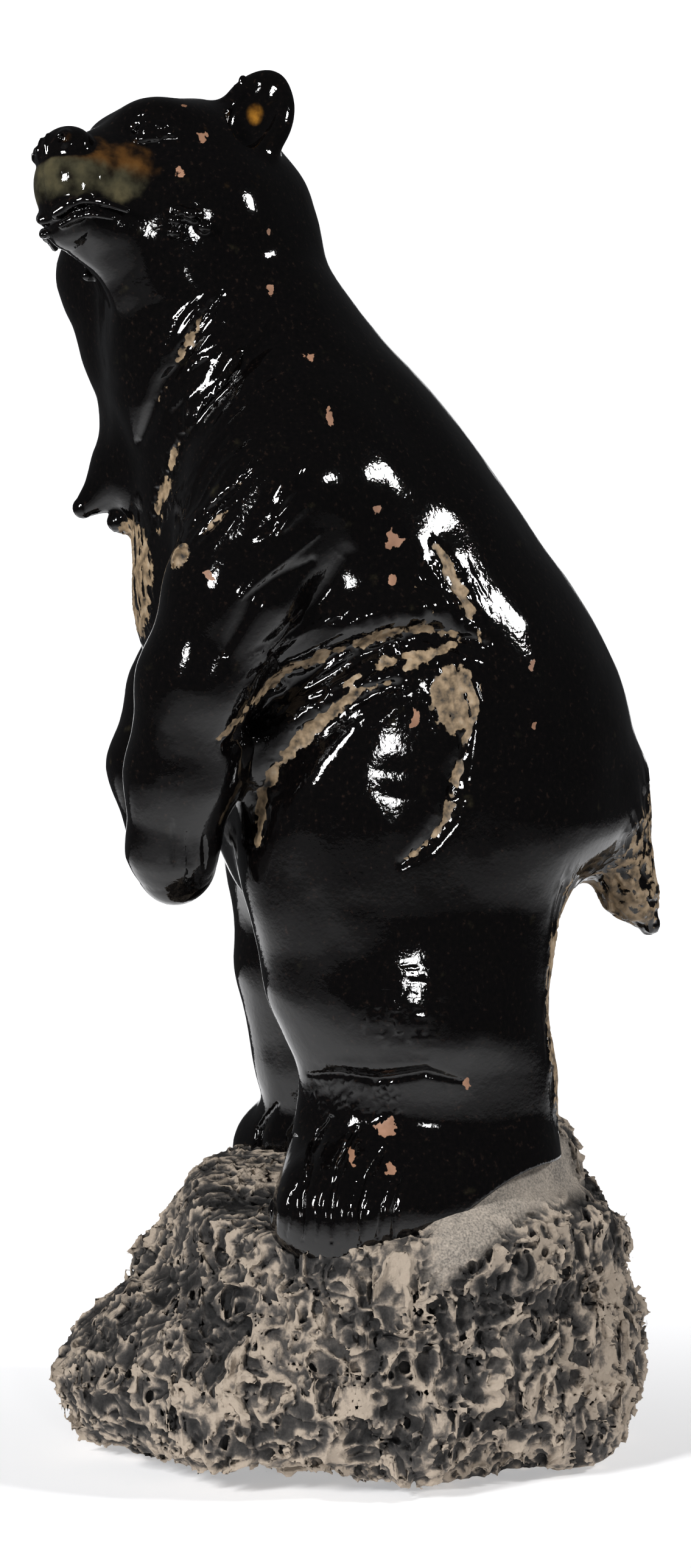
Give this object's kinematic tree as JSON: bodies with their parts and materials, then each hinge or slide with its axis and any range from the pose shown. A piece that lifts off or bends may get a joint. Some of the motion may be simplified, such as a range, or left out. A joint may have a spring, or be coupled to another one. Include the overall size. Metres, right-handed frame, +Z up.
{
  "type": "standing bear sculpture",
  "caption": "Sculpted bear standing upright on a rough rock base, head turned to its left; a free-standing ornament in black-glazed clay.",
  "frame": {"origin": "centre of the underside, at the bottom centre of the part's box", "axes": "+Z up; the bear's body faces -Y and its left side is towards +X"},
  "size_m": [0.2488, 0.3138, 0.6936],
  "materials": {
    "black_glaze": "thick glossy black glaze, bare tan clay in the carved folds, orange-brown muzzle",
    "stained_clay": "matte tan clay with charcoal stain in the hollows"
  },
  "bodies": {
    "root": {"bear": "black_glaze", "rock_base": "stained_clay"}
  },
  "joints": []
}
